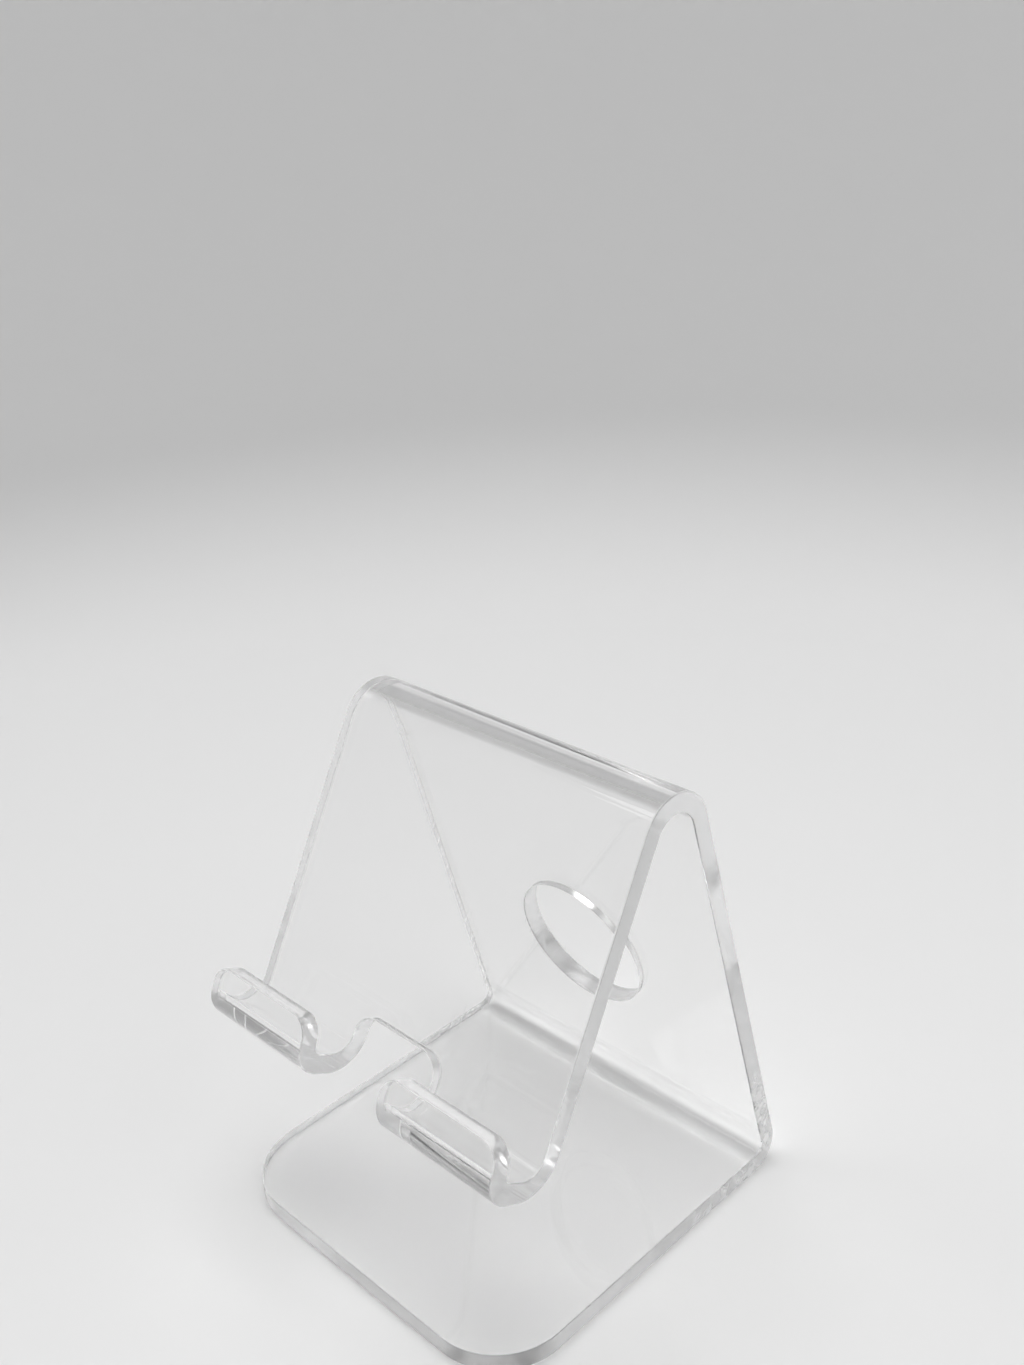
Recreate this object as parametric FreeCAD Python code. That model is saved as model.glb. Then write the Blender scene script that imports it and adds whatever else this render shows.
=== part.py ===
# Phone stand, heat-bent from one sheet of clear acrylic.
#
# The sheet starts as the flat base on the table, bends up at the back into a leg that leans
# forward over the base, folds over at the top, and comes down again as the back rest. At the
# foot of the rest it turns out into a ledge and up into a lip. A gap cut through the lip and the
# ledge splits them into two hooks, so a charging plug can reach the phone. A round hole in the
# leg lets the cable out at the back.
#
# Millimetres. +Z is up and the table is Z = 0. The phone faces -Y. X = 0 is the middle of the
# width, and Y = 0 is the middle of the base's depth.
import FreeCAD, Part
import math
import os

# Sheet
sheet_width = 80.0
sheet_thickness = 4.0

# Base: depth from its front edge to the back of the rear bend
base_depth = 80.0
base_corner_radius = 15.0

# Slopes of the sheet, in degrees
leg_angle = 76.5            # between the base and the leg
rest_angle = 60.0           # between the table and the back rest
lip_lean = 5.0              # how far the lip opens away from the rest

# The crease where the rest's front meets the ledge's top
crease_setback = 12.5       # behind the base's front edge
crease_height = 41.0        # above the table

# Hooks
slot_depth = 8.5            # room for the phone between the rest and the lip, along the ledge
lip_height = 7.0            # above the ledge
lip_corner_radius = 4.0
hook_gap = 22.0             # between the two hooks
gap_climb = 8.5             # how far the gap runs up the rest above the ledge
gap_corner_radius = 4.0

# Cable hole in the leg
cable_hole_diameter = 30.0
cable_hole_distance = 44.0  # from the table to the hole's centre, along the leg's outer face

# Inside radii of the four bends
rear_bend_radius = 2.0
top_bend_radius = 5.0
rest_bend_radius = 4.0
lip_bend_radius = 2.0

# How far each cutting tool reaches past the sheet's faces
cut_overrun = 8.0


def direction(degrees):
    """Unit vector in the side view, turned this far from +Y towards +Z."""
    angle = math.radians(degrees)
    return FreeCAD.Vector(0, math.cos(angle), math.sin(angle))


def crossing(point_a, along_a, point_b, along_b):
    """Where two lines in the side view cross."""
    apart = point_b - point_a
    share = (apart.y * along_b.z - apart.z * along_b.y) / (along_a.y * along_b.z - along_a.z * along_b.y)
    return point_a + along_a * share


leg_up = direction(180.0 - leg_angle)
rest_up = direction(rest_angle)
rest_out = direction(rest_angle + 90.0)     # square to the rest, towards the phone
lip_up = direction(rest_angle + lip_lean)

# Corners of the side that faces the table, the back of the leg and the phone, before bending.
# The rear bend takes up part of the base's depth, so its sharp corner lies a little behind.
front_y = -base_depth / 2
rear_outer_radius = rear_bend_radius + sheet_thickness
rear_overhang = rear_outer_radius * (math.tan(math.radians(90.0 - leg_angle / 2)) - 1.0)
base_front = FreeCAD.Vector(0, front_y, 0)
rear_corner = FreeCAD.Vector(0, base_depth / 2 + rear_overhang, 0)
rest_crease = FreeCAD.Vector(0, front_y + crease_setback, crease_height)
lip_crease = rest_crease + rest_out * slot_depth
lip_top = lip_crease + lip_up * lip_height
top_corner = crossing(rear_corner, leg_up, rest_crease, rest_up)
face_corners = [base_front, rear_corner, top_corner, rest_crease, lip_crease, lip_top]

# A bend that turns left is outside on this face, and one that turns right is inside.
inside_radii = [rear_bend_radius, top_bend_radius, rest_bend_radius, lip_bend_radius]
turns_left = [True, True, False, False]


def offset_corners(corners, distance):
    """The same outline, moved this far to the left of the way it runs."""
    ways = [(end - start).normalize() for start, end in zip(corners, corners[1:])]
    lefts = [FreeCAD.Vector(0, -way.z, way.y) for way in ways]
    moved = [corners[0] + lefts[0] * distance]
    for corner, before, after in zip(corners[1:-1], lefts, lefts[1:]):
        middle = (before + after).normalize()
        moved.append(corner + middle * (distance / middle.dot(before)))
    moved.append(corners[-1] + lefts[-1] * distance)
    return moved


def bent_edges(corners, radii):
    """Straight runs along the corners, joined by an arc of each radius."""
    edges = []
    start = corners[0]
    for index, radius in enumerate(radii, start=1):
        corner = corners[index]
        back = (corners[index - 1] - corner).normalize()
        ahead = (corners[index + 1] - corner).normalize()
        half_angle = back.getAngle(ahead) / 2
        reach = radius / math.tan(half_angle)
        centre = corner + (back + ahead).normalize() * (radius / math.sin(half_angle))
        middle = centre + (corner - centre).normalize() * radius
        arc_start, arc_end = corner + back * reach, corner + ahead * reach
        edges.append(Part.LineSegment(start, arc_start).toShape())
        edges.append(Part.Arc(arc_start, middle, arc_end).toShape())
        start = arc_end
    edges.append(Part.LineSegment(start, corners[-1]).toShape())
    return edges


def side_view():
    """The closed outline of the bent sheet, seen from the side."""
    other_corners = offset_corners(face_corners, sheet_thickness)
    face_radii = [r + sheet_thickness if left else r for r, left in zip(inside_radii, turns_left)]
    other_radii = [r if left else r + sheet_thickness for r, left in zip(inside_radii, turns_left)]
    edges = bent_edges(face_corners, face_radii) + bent_edges(other_corners, other_radii)
    edges.append(Part.LineSegment(face_corners[0], other_corners[0]).toShape())
    edges.append(Part.LineSegment(face_corners[-1], other_corners[-1]).toShape())
    return Part.Face(Part.Wire(Part.__sortEdges__(edges)))


def block_on_rest(width, low_up, high_up, low_out, high_out):
    """A block set square to the rest, its two spans measured from the rest's crease."""
    block = Part.makeBox(width, high_up - low_up, high_out - low_out)
    block.translate(FreeCAD.Vector(-width / 2, low_up, low_out))
    turn = FreeCAD.Rotation(FreeCAD.Vector(1, 0, 0), rest_up, rest_out, "ZXY")
    block.Placement = FreeCAD.Placement(rest_crease, turn).multiply(block.Placement)
    return block


def edges_across_sheet(shape, corner, toward):
    """The straight edges that cross the thickness at this corner of a cut, on both sides of X = 0."""
    found = []
    for side in (-1, 1):
        middle = FreeCAD.Vector(side * corner.x, corner.y, corner.z) + toward * (sheet_thickness / 2)
        for edge in shape.Edges:
            if abs(edge.Length - sheet_thickness) < 0.01 and (edge.CenterOfMass - middle).Length < 0.01:
                found.append(edge)
    return found


def round_corners(shape, corners, toward, radius):
    """The corners of a cut, rounded through the sheet."""
    edges = [edge for corner in corners for edge in edges_across_sheet(shape, corner, toward)]
    return shape.makeFillet(radius, edges)


def bent_sheet():
    half_width = sheet_width / 2
    half_gap = hook_gap / 2
    profile = side_view()
    profile.translate(FreeCAD.Vector(-half_width, 0, 0))
    sheet = profile.extrude(FreeCAD.Vector(sheet_width, 0, 0))

    # gap through the foot of the rest and the ledge, then through the lip
    below = -sheet_thickness - cut_overrun
    beyond = slot_depth + lip_height + cut_overrun
    foot_gap = block_on_rest(hook_gap, below, gap_climb, below, beyond)
    lip_gap = block_on_rest(hook_gap, below, lip_height + cut_overrun, slot_depth / 2, beyond)
    sheet = sheet.cut(foot_gap.fuse(lip_gap))

    # cable hole, square to the leg
    leg_back = FreeCAD.Vector(0, leg_up.z, -leg_up.y)
    drill_start = rear_corner + leg_up * cable_hole_distance + leg_back * cut_overrun
    drill_length = sheet_thickness + 2 * cut_overrun
    drill = Part.makeCylinder(cable_hole_diameter / 2, drill_length, drill_start, leg_back * -1)
    sheet = sheet.cut(drill)

    # rounded corners: front of the base, tops of the lips, top of the gap
    base_corners = [base_front + FreeCAD.Vector(half_width, 0, 0)]
    lip_corners = [lip_top + FreeCAD.Vector(x, 0, 0) for x in (half_gap, half_width)]
    gap_corners = [rest_crease + rest_up * gap_climb + FreeCAD.Vector(half_gap, 0, 0)]
    lip_out = FreeCAD.Vector(0, -lip_up.z, lip_up.y)
    sheet = round_corners(sheet, base_corners, FreeCAD.Vector(0, 0, 1), base_corner_radius)
    sheet = round_corners(sheet, lip_corners, lip_out, lip_corner_radius)
    sheet = round_corners(sheet, gap_corners, rest_out * -1, gap_corner_radius)
    return sheet


os.makedirs("parts", exist_ok=True)
stand = bent_sheet()
box = stand.BoundBox
print("size  %.2f x %.2f x %.2f mm" % (box.XLength, box.YLength, box.ZLength))
print("volume  %.2f cm3" % (stand.Volume / 1000))
stand.exportStep("parts/bent_sheet.step")
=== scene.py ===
import math

import bmesh
import bpy
from mathutils import Matrix, Vector
from mathutils.geometry import intersect_line_line


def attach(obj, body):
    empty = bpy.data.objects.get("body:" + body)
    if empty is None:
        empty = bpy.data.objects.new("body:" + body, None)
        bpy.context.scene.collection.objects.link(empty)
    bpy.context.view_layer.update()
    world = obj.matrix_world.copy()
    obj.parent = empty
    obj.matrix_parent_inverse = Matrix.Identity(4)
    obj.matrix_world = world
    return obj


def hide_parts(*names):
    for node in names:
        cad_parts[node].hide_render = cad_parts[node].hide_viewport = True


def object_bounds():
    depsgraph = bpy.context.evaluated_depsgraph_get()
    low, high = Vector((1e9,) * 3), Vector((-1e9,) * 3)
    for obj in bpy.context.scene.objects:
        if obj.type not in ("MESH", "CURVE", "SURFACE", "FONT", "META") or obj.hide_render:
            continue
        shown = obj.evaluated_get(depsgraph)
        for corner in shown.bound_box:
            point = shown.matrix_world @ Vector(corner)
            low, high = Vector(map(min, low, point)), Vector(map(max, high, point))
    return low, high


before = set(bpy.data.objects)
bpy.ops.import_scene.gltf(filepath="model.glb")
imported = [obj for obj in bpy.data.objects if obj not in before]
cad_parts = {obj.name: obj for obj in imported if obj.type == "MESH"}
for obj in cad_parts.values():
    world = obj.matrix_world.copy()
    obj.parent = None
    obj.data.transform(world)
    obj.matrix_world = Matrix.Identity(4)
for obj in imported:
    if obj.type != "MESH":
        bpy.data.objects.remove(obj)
cadLow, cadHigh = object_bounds()
mm = 0.001

# The stand is one sheet of clear acrylic. It is cut flat, its edges are polished, and then it is
# bent hot along four lines, so the mesh is made in that order too.
sheet = {
    "thickness": 4.0,
    "legAngle": 76.5,        # degrees between the base and the leg
    "restAngle": 60.0,       # degrees between the table and the back rest
    "lipLean": 5.0,          # degrees that the lip opens away from the rest
    "creaseSetback": 12.5,   # crease of rest and ledge, behind the base's front edge
    "creaseHeight": 41.0,    # and above the table
    "slotDepth": 8.5,        # from the rest to the lip, along the ledge
    "lipHeight": 7.0,
    "bendRadii": [2.0, 5.0, 4.0, 2.0],   # inside: rear, top, rest, lip
    "bendSteps": 28,         # flat strips that make each bend look round
}
cuts = {
    "baseCorner": 15.0,      # radius at the front of the base
    "lipCorner": 4.0,
    "hookGap": 22.0,         # between the two hooks
    "gapClimb": 8.5,         # how far the gap runs up the rest above the ledge
    "gapCorner": 4.0,
    "holeDiameter": 30.0,
    "holeDistance": 44.0,    # from the table to the hole's centre, along the leg
    "arris": 0.3,            # what polishing rounds off each sharp edge
    "arrisSteps": 3,
    "cornerSteps": 14,
    "holeSteps": 96,
}
meshing = {
    "sameCorner": 0.1,       # mm, how near a point counts as being at a corner
    "levelEdge": 0.01,       # mm of rise that an edge along the outline may have
    "sharpEdge": 60,         # degrees between two faces whose shared edge is polished round
    "flatEdge": 1,           # degrees, below which the blank needs no edge
    "levelFace": 0.999,      # how upright a normal is on the sheet's own faces
    "cutSnap": 1e-7,         # metres from a bend's cut at which a point is taken as on it
    "normalWeight": 100,     # large faces decide the shading next to the polished edges
}


def heading(degrees):
    # unit vector in the side view, turned this far from +Y towards +Z
    return Vector((0, math.cos(math.radians(degrees)), math.sin(math.radians(degrees))))


def flatPlan():
    # Straight runs and bends of the sheet, laid out flat along +Y from the base's front edge.
    # A turn above zero bends the sheet up and over, and one below zero bends it back.
    thick = sheet["thickness"] * mm
    ways = [0, 180 - sheet["legAngle"], 180 + sheet["restAngle"], 90 + sheet["restAngle"],
            sheet["restAngle"] + sheet["lipLean"]]
    turns = [math.radians(after - before) for before, after in zip(ways, ways[1:])]
    insides = [radius * mm for radius in sheet["bendRadii"]]
    lowers = [radius + thick if turn > 0 else radius for radius, turn in zip(insides, turns)]
    reaches = [lower * math.tan(abs(turn) / 2) for lower, turn in zip(lowers, turns)]

    front = Vector((0, cadLow.y, 0))
    rear = Vector((0, cadHigh.y + reaches[0] - lowers[0], 0))
    crease = front + Vector((0, sheet["creaseSetback"], sheet["creaseHeight"])) * mm
    top = intersect_line_line(rear, rear + heading(ways[1]), crease, crease + heading(ways[2]))[0]
    lipCrease = crease + heading(ways[3]) * sheet["slotDepth"] * mm
    lipTop = lipCrease + heading(ways[4]) * sheet["lipHeight"] * mm
    corners = [front, rear, top, crease, lipCrease, lipTop]

    runs, bends, place = [], [], front.y
    for index, (start, end) in enumerate(zip(corners, corners[1:])):
        before = reaches[index - 1] if index > 0 else 0
        after = reaches[index] if index < len(reaches) else 0
        runs.append((place, place + (end - start).length - before - after))
        place = runs[-1][1]
        if index < len(turns):
            length = abs(turns[index]) * (insides[index] + thick / 2)
            centre = thick + insides[index] if turns[index] > 0 else -insides[index]
            bends.append({"start": place, "length": length, "turn": turns[index], "centre": centre})
            place += length
    return runs, bends, reaches


def roundOff(bm, places, radius):
    # rounds the corners of the flat blank that stand at these places
    near = [v for v in bm.verts if any((v.co - place).length < meshing["sameCorner"] * mm
                                         for place in places)]
    bmesh.ops.bevel(bm, geom=near, offset=radius * mm, offset_type="OFFSET", affect="VERTICES",
                    segments=cuts["cornerSteps"], profile=0.5, material=-1)


def cutBlank(runs, reaches):
    # the flat blank: outline, rounded corners, cable hole, thickness and polished edges
    half = cadHigh.x
    gapHalf = cuts["hookGap"] * mm / 2
    front, tip = runs[0][0], runs[-1][1]
    gapEnd = runs[2][1] + (reaches[2] - cuts["gapClimb"] * mm)
    holeY = runs[1][0] + cuts["holeDistance"] * mm - reaches[0]
    outline = [(-half, front), (half, front), (half, tip), (gapHalf, tip),
               (gapHalf, gapEnd), (-gapHalf, gapEnd), (-gapHalf, tip), (-half, tip)]
    points = [Vector((x, y, 0)) for x, y in outline]

    bm = bmesh.new()
    face = bm.faces.new([bm.verts.new(point) for point in points])
    roundOff(bm, points[0:2], cuts["baseCorner"])
    roundOff(bm, points[2:4] + points[6:8], cuts["lipCorner"])
    roundOff(bm, points[4:6], cuts["gapCorner"])
    bmesh.ops.delete(bm, geom=list(bm.faces), context="FACES_ONLY")
    bmesh.ops.create_circle(bm, cap_ends=False, segments=cuts["holeSteps"],
                            radius=cuts["holeDiameter"] * mm / 2,
                            matrix=Matrix.Translation((0, holeY, 0)))
    bmesh.ops.triangle_fill(bm, use_beauty=True, edges=list(bm.edges))
    bmesh.ops.dissolve_limit(bm, angle_limit=math.radians(meshing["flatEdge"]),
                             verts=list(bm.verts),
                             edges=[edge for edge in bm.edges if not edge.is_boundary])
    raised = bmesh.ops.extrude_face_region(bm, geom=list(bm.faces), use_keep_orig=True)["geom"]
    bmesh.ops.translate(bm, vec=(0, 0, sheet["thickness"] * mm),
                        verts=[item for item in raised if isinstance(item, bmesh.types.BMVert)])
    bmesh.ops.recalc_face_normals(bm, faces=list(bm.faces))
    sharp = math.radians(meshing["sharpEdge"])
    rims = [edge for edge in bm.edges if edge.calc_face_angle(0) > sharp
            and abs(edge.verts[0].co.z - edge.verts[1].co.z) < meshing["levelEdge"] * mm]
    bmesh.ops.bevel(bm, geom=rims, offset=cuts["arris"] * mm, offset_type="OFFSET",
                    affect="EDGES", segments=cuts["arrisSteps"], profile=0.5, material=-1)
    return bm


def markEdges(bm):
    # the sawn and polished edge takes the second material, the sheet's own faces the first
    for face in bm.faces:
        face.smooth = True
        face.material_index = 0 if abs(face.normal.z) > meshing["levelFace"] else 1


def heatBend(bm, bends):
    # bends the blank round each line, from the lip back to the base
    flat = bm.verts.layers.float_vector.new("flatPlace")
    for bend in bends:
        for step in range(sheet["bendSteps"] + 1):
            cutAt = bend["start"] + bend["length"] * step / sheet["bendSteps"]
            bmesh.ops.bisect_plane(bm, geom=list(bm.verts) + list(bm.edges) + list(bm.faces),
                                   dist=meshing["cutSnap"], plane_co=(0, cutAt, 0),
                                   plane_no=(0, 1, 0))
    for vert in bm.verts:
        vert[flat] = vert.co
    for bend in reversed(bends):
        hinge = Vector((0, bend["start"], bend["centre"]))
        for vert in bm.verts:
            slide = min(vert[flat].y - bend["start"], bend["length"])
            if slide > 0:
                turned = Matrix.Rotation(bend["turn"] * slide / bend["length"], 3, "X")
                vert.co = hinge + turned @ (vert.co - hinge - Vector((0, slide, 0)))


def srgb(code):
    # sRGB hex value as linear colour with full alpha
    parts = [int(code[i:i + 2], 16) / 255 for i in (1, 3, 5)]
    return [p / 12.92 if p <= 0.04045 else ((p + 0.055) / 1.055) ** 2.4 for p in parts] + [1]


def addNode(tree, kind, settings=None, links=None):
    # a node with its settings, and what feeds each of its inputs: a value or another socket
    node = tree.nodes.new(kind)
    for name, value in (settings or {}).items():
        setattr(node, name, value)
    for name, value in (links or {}).items():
        if isinstance(value, bpy.types.NodeSocket):
            tree.links.new(value, node.inputs[name])
        else:
            node.inputs[name].default_value = value
    return node


def newMaterial(name):
    material = bpy.data.materials.new(name)
    material.use_nodes = True
    material.node_tree.nodes.clear()
    return material, material.node_tree


acrylicLook = {
    "tint": "#FDFDFD",       # water-clear, with no colour of its own
    "ior": 1.49,
    "waveLength": 18.0,      # mm between the slow swells that heat leaves in the faces
    "waveHeight": 0.008,
    "smudgeSize": 14.0,      # mm across a patch that fingers or a cloth have dulled
    "smudgeRoughness": 0.05,
    "smudgeRange": (0.5, 0.75),      # share of the noise where a smudge starts and is full
    "hairlineGap": 2.4,      # mm between hairlines, far coarser than real ones so that they show
    "hairlineHeight": 0.0012,
    "hairlineTurn": 35,      # degrees, the way that the sheet was wiped
    "hairlineAlong": 12,     # the same pattern's scale along a hairline, which draws it out
    "hairlineFineness": 4.0,
    "hairlineRange": (0.70, 0.74),   # only the noise's crests, so the lines are thin and few
}
edgeLook = {
    "tint": "#FEFEFE",
    "roughness": 0.18,
    "clearness": 0.84,       # the rest is a milky glow from the fine saw marks
    "crazedReach": 27.0,     # mm either side of the rear bend, where heat has crazed the edge
    "speckSize": 3.0,        # mm between white specks, coarser than real ones so that they show
    "speckRange": (0.45, 0.65),      # share of the noise where a speck starts and is full
    "speckHeight": 0.006,
    "speckClearness": 0.4,
}


def acrylicFaces():
    # Cast acrylic sheet with its own polished faces: mirror smooth, so it shows only what it
    # bends and reflects, and heat has left it very slightly wavy.
    material, tree = newMaterial("castAcrylicFaces")
    place = addNode(tree, "ShaderNodeAttribute", {"attribute_name": "flatPlace"})
    waves = addNode(tree, "ShaderNodeTexNoise", {"noise_dimensions": "3D"},
                    {"Vector": place.outputs["Vector"], "Scale": 1 / (acrylicLook["waveLength"] * mm),
                     "Detail": 1.0, "Roughness": 0.4})
    bump = addNode(tree, "ShaderNodeBump", {},
                   {"Height": waves.outputs["Fac"], "Distance": acrylicLook["waveHeight"] * mm})
    across = 1 / (acrylicLook["hairlineGap"] * mm)
    along = addNode(tree, "ShaderNodeMapping", {},
                    {"Vector": place.outputs["Vector"],
                     "Rotation": (0, 0, math.radians(acrylicLook["hairlineTurn"])),
                     "Scale": (across, acrylicLook["hairlineAlong"], 1)})
    lines = addNode(tree, "ShaderNodeTexNoise", {"noise_dimensions": "2D"},
                    {"Vector": along.outputs["Vector"], "Detail": 2.0,
                     "Scale": acrylicLook["hairlineFineness"]})
    lineStart, lineFull = acrylicLook["hairlineRange"]
    hairlines = addNode(tree, "ShaderNodeMapRange", {"clamp": True},
                        {"Value": lines.outputs["Fac"], "From Min": lineStart,
                         "From Max": lineFull})
    bump = addNode(tree, "ShaderNodeBump", {"invert": True},
                   {"Height": hairlines.outputs["Result"], "Normal": bump.outputs["Normal"],
                    "Distance": acrylicLook["hairlineHeight"] * mm})
    patches = addNode(tree, "ShaderNodeTexNoise", {"noise_dimensions": "3D"},
                      {"Vector": place.outputs["Vector"], "Detail": 5.0, "Roughness": 0.6,
                       "Scale": 1 / (acrylicLook["smudgeSize"] * mm)})
    smudgeStart, smudgeFull = acrylicLook["smudgeRange"]
    smudges = addNode(tree, "ShaderNodeMapRange", {"clamp": True},
                      {"Value": patches.outputs["Fac"], "From Min": smudgeStart,
                       "From Max": smudgeFull,
                       "To Max": acrylicLook["smudgeRoughness"]})
    shader = addNode(tree, "ShaderNodeBsdfPrincipled", {},
                     {"Base Color": srgb(acrylicLook["tint"]), "Roughness": smudges.outputs["Result"],
                      "IOR": acrylicLook["ior"], "Transmission Weight": 1.0,
                      "Normal": bump.outputs["Normal"]})
    addNode(tree, "ShaderNodeOutputMaterial", {}, {"Surface": shader.outputs["BSDF"]})
    return material


def acrylicEdge(bends):
    # The same acrylic where it was sawn and flame-polished: a satin band that glows white, because
    # light that runs inside the sheet comes out there. Next to the rear bend heat has crazed it.
    material, tree = newMaterial("polishedAcrylicEdge")
    place = addNode(tree, "ShaderNodeAttribute", {"attribute_name": "flatPlace"})
    along = addNode(tree, "ShaderNodeSeparateXYZ", {}, {"Vector": place.outputs["Vector"]})
    middle = bends[0]["start"] + bends[0]["length"] / 2
    apart = addNode(tree, "ShaderNodeMath", {"operation": "SUBTRACT"},
                    {0: along.outputs["Y"], 1: middle})
    apart = addNode(tree, "ShaderNodeMath", {"operation": "ABSOLUTE"}, {0: apart.outputs[0]})
    reach = edgeLook["crazedReach"] * mm
    near = addNode(tree, "ShaderNodeMapRange", {"clamp": True},
                   {"Value": apart.outputs[0], "From Min": reach, "From Max": reach / 2})
    grain = addNode(tree, "ShaderNodeTexNoise", {"noise_dimensions": "3D"},
                    {"Vector": place.outputs["Vector"], "Detail": 2.0, "Roughness": 0.5,
                     "Scale": 1 / (edgeLook["speckSize"] * mm)})
    speckStart, speckFull = edgeLook["speckRange"]
    specks = addNode(tree, "ShaderNodeMapRange", {"interpolation_type": "SMOOTHSTEP"},
                     {"Value": grain.outputs["Fac"], "From Min": speckStart,
                      "From Max": speckFull})
    specks = addNode(tree, "ShaderNodeMath", {"operation": "MULTIPLY"},
                     {0: specks.outputs["Result"], 1: near.outputs["Result"]})
    bump = addNode(tree, "ShaderNodeBump", {},
                   {"Height": specks.outputs[0], "Distance": edgeLook["speckHeight"] * mm})
    clearness = addNode(tree, "ShaderNodeMapRange", {"clamp": True},
                        {"Value": specks.outputs[0], "To Min": edgeLook["clearness"],
                         "To Max": edgeLook["speckClearness"]})
    shader = addNode(tree, "ShaderNodeBsdfPrincipled", {},
                     {"Base Color": srgb(edgeLook["tint"]), "Roughness": edgeLook["roughness"],
                      "IOR": acrylicLook["ior"], "Transmission Weight": clearness.outputs["Result"],
                      "Normal": bump.outputs["Normal"]})
    addNode(tree, "ShaderNodeOutputMaterial", {}, {"Surface": shader.outputs["BSDF"]})
    return material


def makeStand():
    runs, bends, reaches = flatPlan()
    bm = cutBlank(runs, reaches)
    markEdges(bm)
    heatBend(bm, bends)
    mesh = bpy.data.meshes.new("bentAcrylicSheet")
    bm.to_mesh(mesh)
    bm.free()
    stand = bpy.data.objects.new("bentAcrylicSheet", mesh)
    bpy.context.scene.collection.objects.link(stand)
    stand.data.materials.append(acrylicFaces())
    stand.data.materials.append(acrylicEdge(bends))
    fair = stand.modifiers.new("weightedNormals", "WEIGHTED_NORMAL")
    fair.weight = meshing["normalWeight"]
    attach(stand, "root")
    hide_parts("bent_sheet")
    print("stand:", len(mesh.polygons), "faces")


studio = {
    "floorRadius": 0.30,     # metres, the flat part round the stand
    "sweepRadius": 0.07,     # where the floor turns up into the wall
    "wallHeight": 0.55,
    "airGap": 0.00015,       # between the sheet and the floor under it
    "paper": "#E8E8E8",
    # painted shade: the upright wall gets a darker colour than the floor paper, standing in for the
    # less light it receives
    "wall": "#DEDEDE",
    "roughness": 0.85,       # uncoated paper
    "shine": 0.2,
    "sweepSteps": 16,
    "roundSteps": 96,
    "weld": 1e-6,            # metres, closes the seam of the turned outline
}


def backgroundPaper():
    # uncoated paper: matte, with painted shade that makes it a little darker where it stands up as
    # the wall
    material, tree = newMaterial("matteBackgroundPaper")
    place = addNode(tree, "ShaderNodeTexCoord")
    parts = addNode(tree, "ShaderNodeSeparateXYZ", {}, {"Vector": place.outputs["Object"]})
    # painted shade: the paper's colour turns to the darker wall colour as it rises up the sweep
    rise = addNode(tree, "ShaderNodeMapRange", {"interpolation_type": "SMOOTHSTEP"},
                   {"Value": parts.outputs["Z"], "From Max": studio["sweepRadius"]})
    shade = addNode(tree, "ShaderNodeMix", {"data_type": "RGBA"}, {0: rise.outputs["Result"]})
    lower, paintedWallShade, mixed = shade.inputs[6], shade.inputs[7], shade.outputs[2]   # colour sockets
    lower.default_value = srgb(studio["paper"])
    paintedWallShade.default_value = srgb(studio["wall"])
    shader = addNode(tree, "ShaderNodeBsdfPrincipled", {},
                     {"Base Color": mixed, "Roughness": studio["roughness"],
                      "Specular IOR Level": studio["shine"]})
    addNode(tree, "ShaderNodeOutputMaterial", {}, {"Surface": shader.outputs["BSDF"]})
    return material


def makeStudio():
    # pale paper floor that sweeps up into a low round wall
    bm = bmesh.new()
    radius, sweep = studio["floorRadius"], studio["sweepRadius"]
    height = -studio["airGap"]
    lead = [bm.verts.new((0, 0, height)), bm.verts.new((radius, 0, height))]
    bm.edges.new(lead)
    curve = bmesh.ops.spin(bm, geom=[lead[1]], cent=(radius, 0, height + sweep), axis=(0, -1, 0),
                           angle=math.radians(90), steps=studio["sweepSteps"],
                           use_duplicate=False)
    last = [item for item in curve["geom_last"] if isinstance(item, bmesh.types.BMVert)][0]
    top = bm.verts.new((radius + sweep, 0, height + studio["wallHeight"]))
    bm.edges.new([last, top])
    bmesh.ops.spin(bm, geom=list(bm.verts) + list(bm.edges), cent=(0, 0, 0), axis=(0, 0, 1),
                   angle=math.radians(360), steps=studio["roundSteps"], use_merge=True)
    bmesh.ops.remove_doubles(bm, verts=list(bm.verts), dist=studio["weld"])
    bmesh.ops.recalc_face_normals(bm, faces=list(bm.faces))
    for face in bm.faces:
        face.smooth = True
    mesh = bpy.data.meshes.new("paperSweep")
    bm.to_mesh(mesh)
    bm.free()
    paper = bpy.data.objects.new("paperSweep", mesh)
    bpy.context.scene.collection.objects.link(paper)
    mesh.materials.append(backgroundPaper())
    print("studio: floor and wall")


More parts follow.
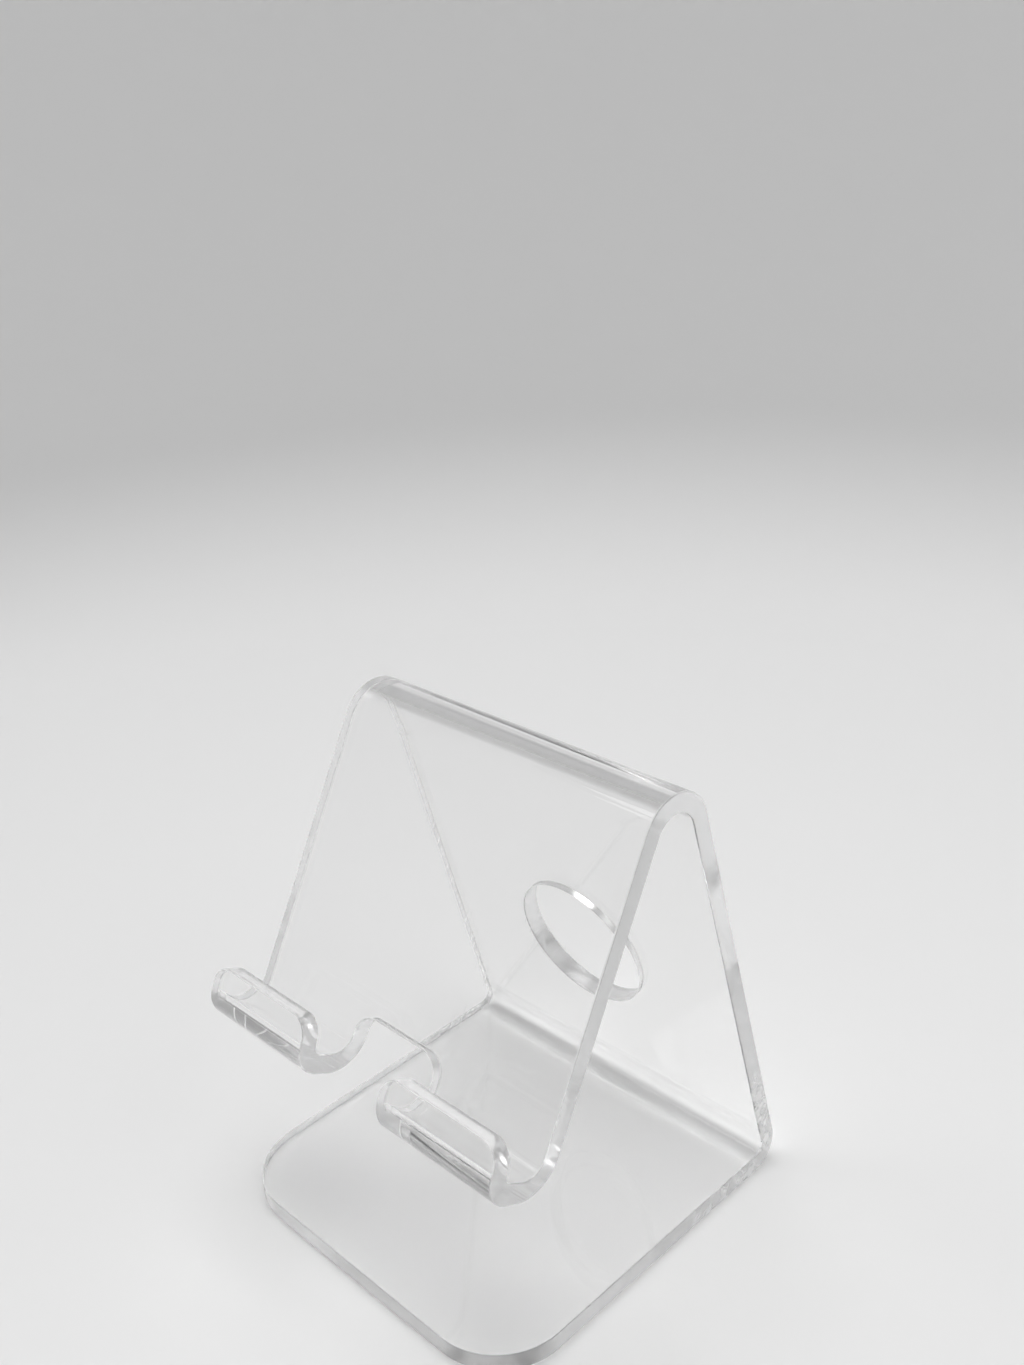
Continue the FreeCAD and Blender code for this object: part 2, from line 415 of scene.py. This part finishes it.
lamps = {                    # places and sizes in metres, spread in degrees
    "overhead": {"place": (-0.05, 0.05, 1.15), "size": 0.80, "watts": 2.9, "spread": 115},
    "left": {"place": (-0.30, -0.25, 0.60), "size": 0.25, "watts": 0.15, "spread": 105},
    "right": {"place": (0.30, 0.04, 0.36), "size": 0.22, "watts": 0.07, "spread": 120},
}
room = {"colour": "#DDDDDD", "strength": 0.42}   # light from pale walls all round


def makeLamps():
    for name, lamp in lamps.items():
        light = bpy.data.lights.new(name, "AREA")
        light.shape = "DISK"
        light.size = lamp["size"]
        light.energy = lamp["watts"]
        light.spread = math.radians(lamp["spread"])
        holder = bpy.data.objects.new(name, light)
        bpy.context.scene.collection.objects.link(holder)
        place = Vector(lamp["place"])
        holder.location = place
        holder.rotation_euler = (-place).to_track_quat("-Z", "Y").to_euler()
    world = bpy.data.worlds.new("softRoom")
    world.use_nodes = True
    background = world.node_tree.nodes["Background"]
    background.inputs["Color"].default_value = srgb(room["colour"])
    background.inputs["Strength"].default_value = room["strength"]
    bpy.context.scene.world = world
    print("lamps:", len(lamps))


view = {
    "place": (0.1804, -0.1576, 0.2200),
    "forward": (-0.6651, 0.6338, -0.3950),
    "roll": -3.9,            # degrees, how far the camera was held out of level
    "lens": 38.5,
    "shift": (-0.0042, -0.0203),
    "clipStart": 0.01,
}


def makeCamera():
    camera = bpy.data.cameras.new("camera")
    camera.lens = view["lens"]
    camera.shift_x, camera.shift_y = view["shift"]
    camera.clip_start = view["clipStart"]
    holder = bpy.data.objects.new("camera", camera)
    holder.location = view["place"]
    aim = Vector(view["forward"]).to_track_quat("-Z", "Y").to_matrix()
    holder.rotation_euler = (aim @ Matrix.Rotation(math.radians(view["roll"]), 3, "Z")).to_euler()
    bpy.context.scene.collection.objects.link(holder)
    bpy.context.scene.camera = holder
    print("camera: lens", view["lens"], "mm")


lightPaths = {               # light is reflected many times inside a clear sheet
    "max_bounces": 32,
    "glossy_bounces": 24,
    "transmission_bounces": 24,
    "blur_glossy": 0,        # leaves the light that the sheet throws onto the paper sharp
}


def setLightPaths():
    for name, value in lightPaths.items():
        setattr(bpy.context.scene.cycles, name, value)
    bpy.context.scene.view_settings.view_transform = "Standard"
    print("light paths:", lightPaths["max_bounces"], "bounces")


makeCamera()
makeStand()
makeStudio()
makeLamps()
setLightPaths()
